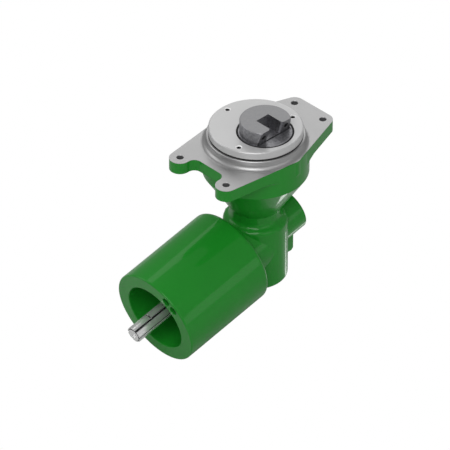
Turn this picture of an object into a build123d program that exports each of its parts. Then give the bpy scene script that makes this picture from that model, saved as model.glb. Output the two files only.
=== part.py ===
from build123d import *
import math
import os

os.makedirs("parts", exist_ok=True)

# Knife drive gearbox, in millimetres. The origin is the centre of the collar's top rim, on the output axis.
# +Z is up along the output axis, X is the way the knife moves, and the input tube points to -Y and
# slopes down.
# Pieces on an axis are drawn as profiles of (radius, station) and turned about it.

# Clearances
running = 0.1
loose = 0.3
seat = 0.02

# Knife and planet gears
knife_stroke = 85.0
crank_radius = knife_stroke / 4
planet_teeth = 17
ring_teeth = 2 * planet_teeth
planet_module = 2 * crank_radius / planet_teeth
pressure_angle = math.radians(20)
tooth_thinning = 0.12

# Flange, seen from above
flange_thickness = 21.0
front_hole_spacing = 106.0
front_hole_y = -119.0
back_hole_spacing = 65.0
back_hole_y = 121.0
flange_hole_radius = 5.5
flange_hole_chamfer = 0.8
front_ear_radius = 17.8
back_ear_radius = 16.4
notch_half_width = 35.5
notch_bottom_y = -103.5
notch_corner_radius = 13.0
side_flare_angle = 7.5
side_taper_angle = 19.0
waist_radius = 20.0

# Housing, from the collar down
collar_radius = 81.0
collar_height = 15.5
collar_edge = 1.0
collar_fillet = 9.0
drum_radius = 87.3
drum_fillet = 10.0
drum_bottom = -69.0
neck_radius = 42.3
neck_below_bearing = 4.0
column_radius = 53.5
column_below_cap = 4.0
shoulder_drop = 6.0
shoulder_fillet = 9.0
column_edge = 5.0
wall = 8.0
casting_fillet = 5.0

# Input line
input_tilt = 12.0
crossing_below_neck = 65.0
input_boss_radius = 53.0
input_boss_face = 98.0
rear_boss_radius = 38.5
rear_boss_end = -80.0
rib_thickness = 18.0
rib_back_y = 79.0
rib_corner = 4.0
rib_above_bottom = 8.5

# Mounting tube, measured along the input line
tube_radius = 84.0
tube_bore_radius = 59.5
tube_front = 233.6
tube_front_edge = 2.5
tube_rear_edge = 7.0
tube_skirt_wall = 13.0
tube_rear_overlap = 2.1
register_step = 8.0
register_depth = 8.0
tube_web = 12.0
tube_mouth_chamfer = 1.0
face_hole_share = 0.306
face_hole_offset = 1.75
face_hole_depth = 25.0
face_hole_angle = 40.0
face_hole_spread = 14.3

# Carrier and planet shaft
disc_radius = 77.0
disc_thickness = 13.7
disc_gap = 0.8
disc_edge = 1.5
disc_hole_radius = 3.4
disc_hole_chamfer = 1.6
disc_hole_depth = 10.0
disc_hole_circle = 65.3
disc_hole_angles = (180.0, 69.3, -69.3)
head_radius = 41.5
head_height = 23.5
head_face_foot = 18.7
head_face_top = 26.0
head_edge = 0.8
slot_width = 27.0
slot_past_axis = 7.0
slot_mouth_radius = 5.0
ledge_groove_width = 1.4
ledge_groove_depth = 3.0
ledge_recess_radius = 42.4
ledge_recess_depth = 1.5
clamp_hole_radius = 4.25
clamp_hole_spacing = 50.0
clamp_hole_height = 11.0
clamp_hole_depth = 24.0
planet_flange_radius = 43.8
planet_flange_drop = 0.5
planet_flange_thickness = 10.0
planet_seal_outer = 47.2
planet_seal_depth = 9.0
planet_stem_radius = 15.0
planet_gear_seat_radius = 12.0
planet_end_radius = 10.0

# Depths below the collar's rim
carrier_seal_depth = 3.5
carrier_seal_width = 10.0
carrier_seal_bore = 74.0
carrier_seal_journal = 64.0
head_bearing_depth = 13.5
upper_bearing_depth = 33.5
ring_gear_depth = 53.5
ring_gear_width = 20.0
ring_gear_flange = 12.0
ring_gear_flange_radius = 65.0
ring_gear_body_radius = 53.0
ring_gear_tip_radius = 41.0
ring_screw_circle = 58.5
ring_screw_count = 8
ledge_thickness = 12.0
planet_pocket_clearance = 2.0
end_bearing_depth = 77.5
end_bearing_length = 16.0
end_cup_radius = 14.0
needle_diameter = 2.5
needle_count = 16
neck_bearing_depth = 139.5
neck_shoulder_radius = 30.0
carrier_waist_radius = 39.0
carrier_stem_radius = 24.0
carrier_stem_length = 4.0
carrier_seat_radius = 16.0
carrier_end_below_neck = 42.0
cap_below_crossing = 61.0
cap_thickness = 8.0
cap_radius = 47.0

# Bevel gears, measured from the point where their axes cross
bevel_module = 4.0
pinion_teeth = 18
gear_teeth = 19
bevel_face = 13.0
bevel_thinning = 0.2
bevel_overrun = 0.012
pinion_bore = 17.0
pinion_hub_radius = 26.0
pinion_hub_end = 52.0
gear_bore = 16.0
gear_hub_radius = 26.0
gear_recess_radius = 20.5
gear_recess_depth = 4.6
drive_shaft_radius = 11.0
rear_shoulder_width = 5.0

# Input shaft, measured along the input line
shaft_end = 282.3
spline_start = 168.0
spline_outer = 14.0
spline_inner = 11.6
spline_key_width = 10.2
spline_count = 6
lock_notch_station = 243.5
lock_notch_width = 3.0
seal_journal_radius = 18.0
neck_journal_radius = 16.0
bearing_spacer = 8.0
tab_washer_thickness = 1.5
lock_nut_width = 9.5
lock_nut_radius = 29.0
lock_nut_slot = (7.0, 6.0)
lock_nut_slots = 4
tab_size = (6.0, 5.0)
tab_count = 12
seal_outer_radius = 26.0
seal_width = 9.0
seal_carrier_flange = 10.0
seal_carrier_radius = 57.0
tube_screw_circle = 46.0
tube_screw_count = 8

# Plugs
plug_radius = 7.0
plug_length = 9.5
plug_collar = 10.0
plug_collar_width = 1.5
plug_hexagon = 17.0
plug_head = 6.0
plug_washer = 1.5
filler_above_crossing = 14.5
filler_distance = 57.5
filler_boss_radius = 13.0

# Retaining rings
ring_thickness = 1.75
ring_reach = 3.5
ring_bite = 1.2

# Keys: width, height and depth in the shaft, and the clearance over them
shaft_key = (8.0, 7.0, 4.0)
gear_shaft_key = (6.0, 6.0, 3.5)
key_clearance = 0.2

# Screws: shank radius, head radius, head height
tube_screw = (4.0, 6.5, 8.0)
ring_screw = (3.0, 5.0, 6.0)
tube_screw_length = 36.0
ring_screw_length = 16.0

# Ball bearings: bore, outside diameter, width, ball diameter, number of balls
upper_bearing_size = (110.0, 140.0, 16.0, 9.0, 26)
neck_bearing_size = (40.0, 68.0, 15.0, 8.0, 13)
head_bearing_size = (35.0, 72.0, 17.0, 11.0, 9)
input_bearing_size = (40.0, 80.0, 18.0, 12.0, 9)
rear_bearing_size = (30.0, 62.0, 16.0, 9.5, 9)

# Places worked out from the dimensions above
flange_top = -collar_height
flange_bottom = flange_top - flange_thickness
disc_bottom = disc_gap
disc_top = disc_bottom + disc_thickness
head_top = disc_top + head_height
neck_bottom = -neck_bearing_depth - neck_bearing_size[2] - neck_below_bearing
cone_bottom = -neck_bearing_depth - 1
shoulder_z = neck_bottom - shoulder_drop
crossing_z = -neck_bearing_depth - crossing_below_neck
cap_depth = -crossing_z + cap_below_crossing
column_bottom = -cap_depth - cap_thickness - column_below_cap
rib_bottom = column_bottom + rib_above_bottom
filler_z = crossing_z + filler_above_crossing
carrier_waist_bottom = -end_bearing_depth - end_bearing_length - 4
carrier_stem_top = -neck_bearing_depth + carrier_stem_length
carrier_end = -neck_bearing_depth - carrier_end_below_neck
tilt = math.radians(input_tilt)
input_axis = (0, -math.cos(tilt), -math.sin(tilt))
output_line = Plane.XY
planet_line = Plane(origin=(crank_radius, 0, 0), x_dir=(1, 0, 0), z_dir=(0, 0, 1))
input_line = Plane(origin=(0, 0, crossing_z), x_dir=(1, 0, 0), z_dir=input_axis)
gear_line = Plane(origin=(0, 0, crossing_z), x_dir=(1, 0, 0), z_dir=(0, 0, 1))


# The tube's skirt reaches back to where its bore meets the round bottom edge of the column
tube_skirt_radius = tube_radius - tube_skirt_wall
column_drop = crossing_z - column_bottom
skirt_excess = tube_skirt_radius**2 - column_radius**2 - (column_drop * math.cos(tilt)) ** 2
skirt_half = column_drop * math.sin(tilt) * math.cos(tilt)
skirt_reach = (math.sqrt(skirt_half**2 - skirt_excess * math.cos(tilt) ** 2) - skirt_half) / math.cos(tilt)
tube_rear = skirt_reach + column_drop * math.sin(tilt) - tube_rear_overlap
tube_wall = tube_radius - tube_bore_radius
face_hole_radius = face_hole_share * tube_wall
face_hole_circle = tube_bore_radius + tube_wall / 2 + face_hole_offset
register_radius = input_boss_radius + register_step


def save(piece, name):
    piece.part.label = name
    export_step(piece.part, f"parts/{name}.step")


def axis_of(line):
    return Axis(line.origin, line.z_dir)


def along_input(point):
    return input_line.to_local_coords(point).Z


def profile_plane(line):
    # The plane through an axis in which x is the radius and y runs along the axis
    return Plane(origin=line.origin, x_dir=line.x_dir, z_dir=-line.y_dir)


def turned(line, *points):
    with BuildPart() as body:
        with BuildSketch(profile_plane(line)):
            with BuildLine():
                Polyline(*points, close=True)
            make_face()
        revolve(axis=axis_of(line))
    return body


def sleeve(line, inner, outer, low, high, edge=0.0):
    # A tube about an axis, with both outer edges broken by a chamfer where one is given
    with BuildPart() as body:
        with BuildSketch(line.offset(low)):
            Circle(outer)
            if inner:
                Circle(inner, mode=Mode.SUBTRACT)
        extrude(amount=high - low)
        if edge:
            rims = body.edges().filter_by(GeomType.CIRCLE)
            chamfer(rims.group_by(lambda rim: round(rim.radius, 3))[-1], edge)
    return body


def flange_outline():
    # One half of the flange, from the middle of the notch round to the middle of the back edge
    half_front = front_hole_spacing / 2
    half_back = back_hole_spacing / 2
    flare = math.radians(side_flare_angle)
    taper = math.radians(side_taper_angle)
    side_start = (
        half_front + front_ear_radius * math.cos(flare),
        front_hole_y - front_ear_radius * math.sin(flare),
    )
    side_end = (
        half_back + back_ear_radius * math.cos(taper),
        back_hole_y + back_ear_radius * math.sin(taper),
    )
    # The two side edges meet at the waist
    rise = (side_end[1] - side_start[1]) * math.tan(taper) + side_end[0] - side_start[0]
    step = rise / (math.tan(flare) + math.tan(taper))
    waist = (side_start[0] + step * math.tan(flare), side_start[1] + step)
    corner = (notch_half_width - notch_corner_radius, notch_bottom_y - notch_corner_radius)
    diagonal = math.sqrt(0.5)
    with BuildSketch() as outline:
        with BuildLine():
            Line((0, notch_bottom_y), (corner[0], notch_bottom_y))
            ThreePointArc(
                (corner[0], notch_bottom_y),
                (corner[0] + notch_corner_radius * diagonal, corner[1] + notch_corner_radius * diagonal),
                (notch_half_width, corner[1]),
            )
            Line((notch_half_width, corner[1]), (notch_half_width, front_hole_y))
            ThreePointArc(
                (notch_half_width, front_hole_y),
                (half_front, front_hole_y - front_ear_radius),
                side_start,
            )
            Line(side_start, waist)
            Line(waist, side_end)
            ThreePointArc(
                side_end,
                (half_back + back_ear_radius * diagonal, back_hole_y + back_ear_radius * diagonal),
                (half_back, back_hole_y + back_ear_radius),
            )
            Line((half_back, back_hole_y + back_ear_radius), (0, back_hole_y + back_ear_radius))
            Line((0, back_hole_y + back_ear_radius), (0, notch_bottom_y))
        make_face()
        mirror(about=Plane.YZ)
        fillet(outline.vertices().filter_by_position(Axis.Y, waist[1] - 1, waist[1] + 1), waist_radius)
    return outline.sketch


def flare(radius, reach, high, low):
    # A ring with a concave quarter round, from a cylinder out to a plane: high is on the cylinder
    middle = (radius + reach * (1 - math.sqrt(0.5)), low + (high - low) * (1 - math.sqrt(0.5)))
    with BuildPart() as ring:
        with BuildSketch(profile_plane(output_line)):
            with BuildLine():
                Line((0, high), (radius, high))
                ThreePointArc((radius, high), middle, (radius + reach, low))
                Line((radius + reach, low), (0, low))
                Line((0, low), (0, high))
            make_face()
        revolve(axis=Axis.Z)
        with BuildSketch(Plane.XY.offset(min(low, high))):
            add(flange_outline())
        extrude(amount=abs(high - low), mode=Mode.INTERSECT)
    return ring


def ball_bearing(name, line, lows, size):
    # Deep groove bearings of one size: rings, cages and balls, each with its low face at one of the stations
    bore, outside, width, ball, count = size
    pitch = (bore + outside) / 4
    groove = ball / 2 + running
    land = 0.42 * ball / 2
    edge = 0.06 * width
    cage_half = min(ball / 2 + 1.2, width / 2 - 0.5)
    for ring, inner, outer, seat_radius in (
        ("inner", bore / 2, pitch - land, bore / 2),
        ("outer", pitch + land, outside / 2, outside / 2),
    ):
        with BuildPart() as race:
            for low in lows:
                with BuildSketch(profile_plane(line)):
                    with Locations(((inner + outer) / 2, low + width / 2)):
                        Rectangle(outer - inner, width)
                    with Locations((pitch, low + width / 2)):
                        Circle(groove, mode=Mode.SUBTRACT)
                revolve(axis=axis_of(line))
            rims = race.edges().filter_by(GeomType.CIRCLE)
            chamfer(rims.filter_by(lambda rim: abs(rim.radius - seat_radius) < 0.01), edge)
        save(race, f"{name}_{ring}_ring")
    with BuildPart(*[line.offset(low + width / 2) for low in lows]) as balls:
        with PolarLocations(pitch, count):
            Sphere(ball / 2)
    with BuildPart(*[line.offset(low + width / 2) for low in lows], mode=Mode.PRIVATE) as pockets:
        with PolarLocations(pitch, count):
            Cylinder(ball / 2 + 1.5 * running, 2 * land, rotation=(0, 90, 0))
    with BuildPart() as cage:
        for low in lows:
            middle = low + width / 2
            add(sleeve(line, pitch - 0.3 * land, pitch + 0.3 * land, middle - cage_half,
                       middle + cage_half).part)
        add(pockets.part, mode=Mode.SUBTRACT)
    save(balls, f"{name}_balls")
    save(cage, f"{name}_cage")


def retaining_ring(line, inner, outer, low, gap_width):
    # Snap ring with a gap, for a groove in a bore or on a shaft
    with BuildPart() as ring:
        with BuildSketch(line.offset(low)):
            Circle(outer)
            Circle(inner, mode=Mode.SUBTRACT)
            with Locations((0, (inner + outer) / 2)):
                Rectangle(gap_width, 2 * (outer - inner), mode=Mode.SUBTRACT)
        extrude(amount=ring_thickness)
    return ring


def socket_screws(line, circle, count, head_low, size, length, turn=0.0):
    # Socket head screws whose heads point along the line, with head_low under the heads
    shank, head, height = size
    with BuildPart() as screws:
        with BuildSketch(line.offset(head_low - length)):
            with PolarLocations(circle, count, start_angle=turn):
                Circle(shank)
        extrude(amount=length)
        with BuildSketch(line.offset(head_low)):
            with PolarLocations(circle, count, start_angle=turn):
                Circle(head)
        extrude(amount=height)
        chamfer(screws.edges().filter_by(GeomType.CIRCLE).group_by(
            lambda rim: round(rim.radius, 3))[-1].group_by(
            lambda rim: round(line.to_local_coords(rim.arc_center).Z, 2))[-1], head * 0.12)
        with BuildSketch(line.offset(head_low + height)):
            with PolarLocations(circle, count, start_angle=turn):
                RegularPolygon(head * 0.52, 6)
        extrude(amount=-height * 0.55, mode=Mode.SUBTRACT)
    return screws


def lip_seal(line, shaft, bore, low, high):
    # Rubber ring with a metal-cored outer wall and a lip that runs on the shaft
    depth = high - low
    return turned(
        line,
        (bore, low),
        (bore, high - 0.6),
        (bore - 0.6, high),
        (shaft + 0.8, high - 0.6),
        (shaft + running, high - 0.3 * depth),
        (shaft + 0.6, high - 0.5 * depth),
        (shaft + 0.6, high - 0.6 * depth),
        (bore - 0.35 * (bore - shaft), low + 0.3 * depth),
        (bore - 0.35 * (bore - shaft), low),
    )


def key_block(line, radius, size, low, high, clearance=0.0):
    # Parallel key, sunk into the shaft by its depth
    width, height, depth = size
    height = height + clearance
    with BuildPart() as block:
        with BuildSketch(line.offset(low)):
            with Locations((radius - depth + height / 2, 0)):
                Rectangle(height, width)
        extrude(amount=high - low)
    return block


def involute(angle):
    return math.tan(angle) - angle


def flank_angle(pitch_radius, half_thickness, radius):
    # Half the tooth's angle at a radius, for a tooth with the given half thickness on the pitch circle
    base = pitch_radius * math.cos(pressure_angle)
    turn = math.acos(min(1.0, base / radius))
    return half_thickness / pitch_radius + involute(pressure_angle) - involute(turn)


def tooth_face(pitch_radius, half_thickness, root, tip, centre=0.0):
    # One involute tooth pointing along +X; below the base circle its flanks run straight to the root
    base = pitch_radius * math.cos(pressure_angle)
    start = max(base, root)
    steps = [start + (tip - start) * i / 4 for i in range(5)]
    upper = [
        (r * math.cos(flank_angle(pitch_radius, half_thickness, r)) - centre,
         r * math.sin(flank_angle(pitch_radius, half_thickness, r)))
        for r in steps
    ]
    lower = [(x, -y) for x, y in upper]
    foot_angle = flank_angle(pitch_radius, half_thickness, start)
    foot = (root * math.cos(foot_angle) - centre, root * math.sin(foot_angle))
    with BuildSketch() as face:
        with BuildLine():
            Spline(*upper)
            Line(upper[-1], lower[-1])
            Spline(*lower)
            if start > root:
                Polyline(lower[0], (foot[0], -foot[1]), foot, upper[0])
            else:
                Line(lower[0], upper[0])
        make_face()
    return face.sketch


def bevel_wheel(line, teeth, cone, bore, hub, hub_end, start_angle, recess=0.0):
    # Straight bevel wheel whose pitch cone has its apex at the line's origin
    pitch_radius = bevel_module * teeth / 2
    distance = pitch_radius / math.sin(cone)
    toe = (distance - bevel_face) / distance
    dedendum = 1.25 * bevel_module
    addendum = 0.95 * bevel_module
    virtual = pitch_radius / math.cos(cone)
    half_thickness = math.pi * bevel_module / 4 - bevel_thinning / 2
    outward = (math.cos(cone), 0, -math.sin(cone))
    along = (math.sin(cone), 0, math.cos(cone))
    heel_root = (
        pitch_radius - dedendum * math.cos(cone),
        distance * math.cos(cone) + dedendum * math.sin(cone),
    )
    # The body is a little longer than the teeth at both ends
    toe_root = ((toe - bevel_overrun) * heel_root[0], (toe - bevel_overrun) * heel_root[1])
    heel_root = ((1 + bevel_overrun) * heel_root[0], (1 + bevel_overrun) * heel_root[1])
    hub_start = heel_root[1] + (heel_root[0] - hub) * math.tan(cone)
    profile = tooth_face(virtual, half_thickness, virtual - dedendum - 0.6, virtual + addendum, virtual)
    with BuildPart() as tooth:
        for share in (1, toe):
            centre = (share * pitch_radius, 0, share * distance * math.cos(cone))
            with BuildSketch(Plane(origin=centre, x_dir=outward, z_dir=along)):
                add(scale(profile, by=share, mode=Mode.PRIVATE))
        loft(ruled=True)
    with BuildPart() as blank:
        add(turned(
            output_line,
            (bore, toe_root[1]),
            toe_root,
            heel_root,
            (hub, hub_start),
            (hub, hub_end),
            (bore, hub_end),
        ).part)
        with PolarLocations(0, teeth, start_angle=start_angle):
            add(tooth.part)
        if recess:
            add(sleeve(output_line, 0, recess, 0, toe_root[1] + gear_recess_depth).part, mode=Mode.SUBTRACT)
    with BuildPart() as wheel:
        with Locations(line):
            add(blank.part)
    return wheel


shaft_angle = math.pi / 2 + tilt
gear_cone = math.atan2(math.sin(shaft_angle), pinion_teeth / gear_teeth + math.cos(shaft_angle))
pinion_cone = shaft_angle - gear_cone


def toe_station(teeth, cone):
    # Where the toe end of a bevel wheel's body lies along its axis
    radius = bevel_module * teeth / 2
    distance = radius / math.sin(cone)
    heel = distance * math.cos(cone) + 1.25 * bevel_module * math.sin(cone)
    return heel * ((distance - bevel_face) / distance - bevel_overrun)


pinion_toe = toe_station(pinion_teeth, pinion_cone)
gear_toe = toe_station(gear_teeth, gear_cone)

# Stations along the input line
front_a = pinion_hub_end
bearing_width = input_bearing_size[2]
spacer_low = front_a + bearing_width
front_b = spacer_low + bearing_spacer
washer_low = front_b + bearing_width
nut_low = washer_low + tab_washer_thickness
nut_high = nut_low + lock_nut_width
web_front = input_boss_face + tube_web
seal_carrier_front = web_front + seal_carrier_flange

# Heights of the bearings on the output line
upper_low = -upper_bearing_depth - upper_bearing_size[2]
neck_low = -neck_bearing_depth - neck_bearing_size[2]
head_low = -head_bearing_depth - head_bearing_size[2]
ring_gear_low = -ring_gear_depth - ring_gear_width
ring_flange_low = -ring_gear_depth - ring_gear_flange
end_low = -end_bearing_depth - end_bearing_length
ledge_low = ring_flange_low - ledge_thickness

# Bores of the housing
upper_bore = upper_bearing_size[1] / 2 + seat
ring_above_low = -upper_bearing_depth + ring_thickness + 1
carrier_seal_low = -carrier_seal_depth - carrier_seal_width
neck_bore = neck_bearing_size[1] / 2 + seat
neck_shoulder_top = -neck_bearing_depth + 6
column_bore = column_radius - wall
pinion_space_radius = column_bore - 2
input_bore = input_bearing_size[1] / 2 + seat
rear_bore = rear_bearing_size[1] / 2 + seat
rear_shoulder_radius = rear_bore - 5
rear_low = rear_boss_end + 9
rear_high = rear_low + rear_bearing_size[2]
tube_thread_depth = tube_screw_length - tube_web - seal_carrier_flange + 2
cone_slope = (drum_radius - neck_radius) / (drum_bottom - cone_bottom)


def inner_cone(z):
    # Radius of the oil space inside the cone, one wall in from the outside
    return drum_radius - (drum_bottom - z) * cone_slope - wall * math.hypot(1, cone_slope)


# Stations of the seals, rings and keys
input_seal_low = seal_carrier_front - seal_width
gear_ring_low = crossing_z + gear_toe + gear_recess_depth - ring_thickness
gear_key_low = crossing_z + gear_toe + gear_recess_depth + 1
gear_key_high = neck_low - 2
pinion_ring_low = pinion_toe - ring_thickness
planet_seat_low = end_low + end_bearing_length + 0.5
planet_ring_low = ring_gear_low - ring_thickness
planet_key_low = ring_gear_low + 2
planet_key_high = -ring_gear_depth - 2
pinion_key_low = pinion_toe + 2
pinion_key_high = pinion_hub_end - 3

cap_low = -cap_depth - cap_thickness
drain_line = Plane(origin=(0, 0, cap_low - plug_washer), x_dir=(1, 0, 0), z_dir=(0, 0, 1))
filler_line = Plane(origin=(-filler_distance, 0, filler_z), x_dir=(0, 1, 0), z_dir=(1, 0, 0))

# Housing

with BuildPart() as housing:
    with BuildSketch(Plane.XY.offset(flange_bottom)):
        add(flange_outline())
    extrude(amount=flange_thickness)
    add(flare(collar_radius, collar_fillet, flange_top + collar_fillet, flange_top).part)
    add(flare(drum_radius, drum_fillet, flange_bottom - drum_fillet, flange_bottom).part)
    add(turned(
        output_line,
        (0, 0),
        (collar_radius - collar_edge, 0),
        (collar_radius, -collar_edge),
        (collar_radius, flange_top),
        (drum_radius, flange_top - collar_edge),
        (drum_radius, drum_bottom),
        (neck_radius, cone_bottom),
        (neck_radius, neck_bottom),
        (column_radius, shoulder_z),
        (column_radius, column_bottom),
        (0, column_bottom),
    ).part)
    rims = housing.edges().filter_by(GeomType.CIRCLE)
    fillet(rims.filter_by_position(Axis.Z, column_bottom - 1, column_bottom + 1), column_edge)
    fillet(rims.filter_by_position(Axis.Z, neck_bottom - 1, neck_bottom + 1), shoulder_fillet)
    fillet(rims.filter_by_position(Axis.Z, shoulder_z - 1, shoulder_z + 1), shoulder_fillet)
    fillet(rims.filter_by_position(Axis.Z, cone_bottom - 1, cone_bottom + 1), casting_fillet)
    # Bosses for the input bearings and, behind the column, for the bore's end cap
    with BuildSketch(input_line):
        Circle(input_boss_radius)
    extrude(amount=input_boss_face)
    with BuildSketch(input_line.offset(rear_boss_end)):
        Circle(rear_boss_radius)
    extrude(amount=-rear_boss_end)
    with BuildSketch(Plane.YZ.offset(-rib_thickness / 2)):
        with BuildLine():
            Polyline(
                (0, rib_bottom),
                (rib_back_y - rib_corner, rib_bottom),
                (rib_back_y, rib_bottom + rib_corner),
                (rib_back_y, crossing_z),
                (0, crossing_z),
                close=True,
            )
        make_face()
    extrude(amount=rib_thickness)
    # Inside: seal and bearing seats, the ledge for the ring gear, the oil space and the column's bore
    add(turned(
        output_line,
        (0, 1),
        (carrier_seal_bore, 1),
        (carrier_seal_bore, carrier_seal_low),
        (upper_bore + loose, carrier_seal_low),
        (upper_bore + loose, ring_above_low),
        (upper_bore, ring_above_low),
        (upper_bore, upper_low),
        (ring_gear_flange_radius, upper_low),
        (ring_gear_flange_radius, ring_flange_low),
        (ring_gear_body_radius + loose, ring_flange_low),
        (ring_gear_body_radius + loose, ledge_low),
        (inner_cone(ledge_low), ledge_low),
        (inner_cone(neck_shoulder_top), neck_shoulder_top),
        (neck_shoulder_radius, neck_shoulder_top),
        (neck_shoulder_radius, -neck_bearing_depth),
        (neck_bore, -neck_bearing_depth),
        (neck_bore, neck_bottom),
        (column_bore, shoulder_z - wall / 2),
        (column_bore, -cap_depth),
        (cap_radius, -cap_depth),
        (cap_radius, column_bottom - 1),
        (0, column_bottom - 1),
    ).part, mode=Mode.SUBTRACT)
    add(turned(
        input_line,
        (0, 0),
        (pinion_space_radius, 0),
        (pinion_space_radius, pinion_hub_end - wall),
        (input_bore - 4, pinion_hub_end - wall),
        (input_bore - 4, front_a),
        (input_bore, front_a),
        (input_bore, input_boss_face + 1),
        (0, input_boss_face + 1),
    ).part, mode=Mode.SUBTRACT)
    add(sleeve(input_line, 0, rear_shoulder_radius, rear_boss_end, 0).part, mode=Mode.SUBTRACT)
    add(sleeve(input_line, 0, rear_bore, rear_boss_end - 1, rear_high).part, mode=Mode.SUBTRACT)
    # Grooves for the retaining rings in the bores
    for line, bore, low in (
        (output_line, upper_bore, -upper_bearing_depth),
        (output_line, neck_bore, neck_low - ring_thickness),
        (output_line, cap_radius, -cap_depth - cap_thickness - ring_thickness),
        (input_line, rear_bore, rear_low - ring_thickness),
    ):
        add(sleeve(line, bore - 1, bore + ring_bite + seat, low - seat, low + ring_thickness + seat).part,
            mode=Mode.SUBTRACT)
    # Flange holes, with a light chamfer on the machined face
    for spacing, y in ((front_hole_spacing, front_hole_y), (back_hole_spacing, back_hole_y)):
        with Locations(Plane.XY.offset(flange_top)):
            with Locations((-spacing / 2, y), (spacing / 2, y)):
                CounterSinkHole(flange_hole_radius, flange_hole_radius + flange_hole_chamfer)
    # Tapped holes for the ring gear's screws and the tube's screws
    with BuildSketch(Plane.XY.offset(ring_flange_low)):
        with PolarLocations(ring_screw_circle, ring_screw_count, start_angle=22.5):
            Circle(ring_screw[0])
    extrude(amount=-ledge_thickness, mode=Mode.SUBTRACT)
    with BuildSketch(input_line.offset(input_boss_face)):
        with PolarLocations(tube_screw_circle, tube_screw_count):
            Circle(tube_screw[0])
    extrude(amount=-tube_thread_depth, mode=Mode.SUBTRACT)
    # Spot-faced boss and tapped hole for the filler plug
    with BuildSketch(filler_line.offset(plug_washer)):
        Circle(filler_boss_radius)
    extrude(amount=wall)
    with BuildSketch(filler_line):
        Circle(plug_radius)
    extrude(amount=wall + plug_washer + 6, mode=Mode.SUBTRACT)
save(housing, "housing")

# Mounting tube

with BuildPart() as tube:
    with BuildSketch(profile_plane(input_line)):
        with BuildLine():
            Polyline(
                (tube_skirt_radius, tube_rear),
                (tube_radius, tube_rear),
                (tube_radius, tube_front),
                (tube_bore_radius + tube_mouth_chamfer, tube_front),
                (tube_bore_radius, tube_front - tube_mouth_chamfer),
                (tube_bore_radius, web_front),
                (input_bore, web_front),
                (input_bore, input_boss_face),
                (input_boss_radius + seat, input_boss_face),
                (input_boss_radius + seat, input_boss_face - register_depth),
                (register_radius, input_boss_face - register_depth),
                ((register_radius + tube_skirt_radius) / 2, input_boss_face),
                (tube_skirt_radius, input_boss_face),
                close=True,
            )
        make_face()
    revolve(axis=axis_of(input_line))
    outer_rims = tube.edges().filter_by(GeomType.CIRCLE).filter_by(lambda rim: rim.radius > tube_radius - 0.1)
    fillet(outer_rims.filter_by(lambda rim: along_input(rim.arc_center) < tube_rear + 1), tube_rear_edge)
    fillet(outer_rims.filter_by(lambda rim: along_input(rim.arc_center) > tube_front - 1), tube_front_edge)
    with BuildSketch(input_line.offset(tube_front)):
        with Locations(Location((0, 0), 90 - face_hole_angle)):
            with PolarLocations(face_hole_circle, 2, start_angle=-face_hole_spread / 2,
                                angular_range=face_hole_spread, endpoint=True):
                Circle(face_hole_radius)
    extrude(amount=-face_hole_depth, mode=Mode.SUBTRACT)
    with BuildSketch(input_line.offset(web_front)):
        with PolarLocations(tube_screw_circle, tube_screw_count):
            Circle(tube_screw[0] + loose)
    extrude(amount=-tube_web, mode=Mode.SUBTRACT)
save(tube, "mounting_tube")

# Bearings

ball_bearing("upper_bearing", output_line, [upper_low], upper_bearing_size)
ball_bearing("neck_bearing", output_line, [neck_low], neck_bearing_size)
ball_bearing("planet_bearing", planet_line, [head_low], head_bearing_size)
ball_bearing("input_bearing", input_line, [front_a, front_b], input_bearing_size)
ball_bearing("rear_bearing", input_line, [rear_low], rear_bearing_size)

# Needle bearing at the planet shaft's lower end

needle_circle = planet_end_radius + needle_diameter / 2 + running / 2
with BuildPart() as needle_cup:
    add(sleeve(planet_line, needle_circle + needle_diameter / 2 + running / 2, end_cup_radius,
               end_low, end_low + end_bearing_length, 0.3).part)
    for low in (end_low, end_low + end_bearing_length - 1):
        add(sleeve(planet_line, planet_end_radius + 2 * running, end_cup_radius - 0.5, low, low + 1).part)
save(needle_cup, "needle_cup")
with BuildPart() as needles:
    with BuildSketch(planet_line.offset(end_low + 2.4)):
        with PolarLocations(needle_circle, needle_count):
            Circle(needle_diameter / 2)
    extrude(amount=end_bearing_length - 4.8)
save(needles, "needles")
with BuildPart() as needle_cage:
    add(sleeve(planet_line, needle_circle - 0.4, needle_circle + 0.4, end_low + 1.2,
               end_low + end_bearing_length - 1.2).part)
    with BuildSketch(planet_line.offset(end_low + 2.2)):
        with PolarLocations(needle_circle, needle_count):
            Circle(needle_diameter / 2 + running)
    extrude(amount=end_bearing_length - 4.4, mode=Mode.SUBTRACT)
save(needle_cage, "needle_cage")

# Carrier: the turning disc, its hub and the stem that carries the bevel gear

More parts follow.
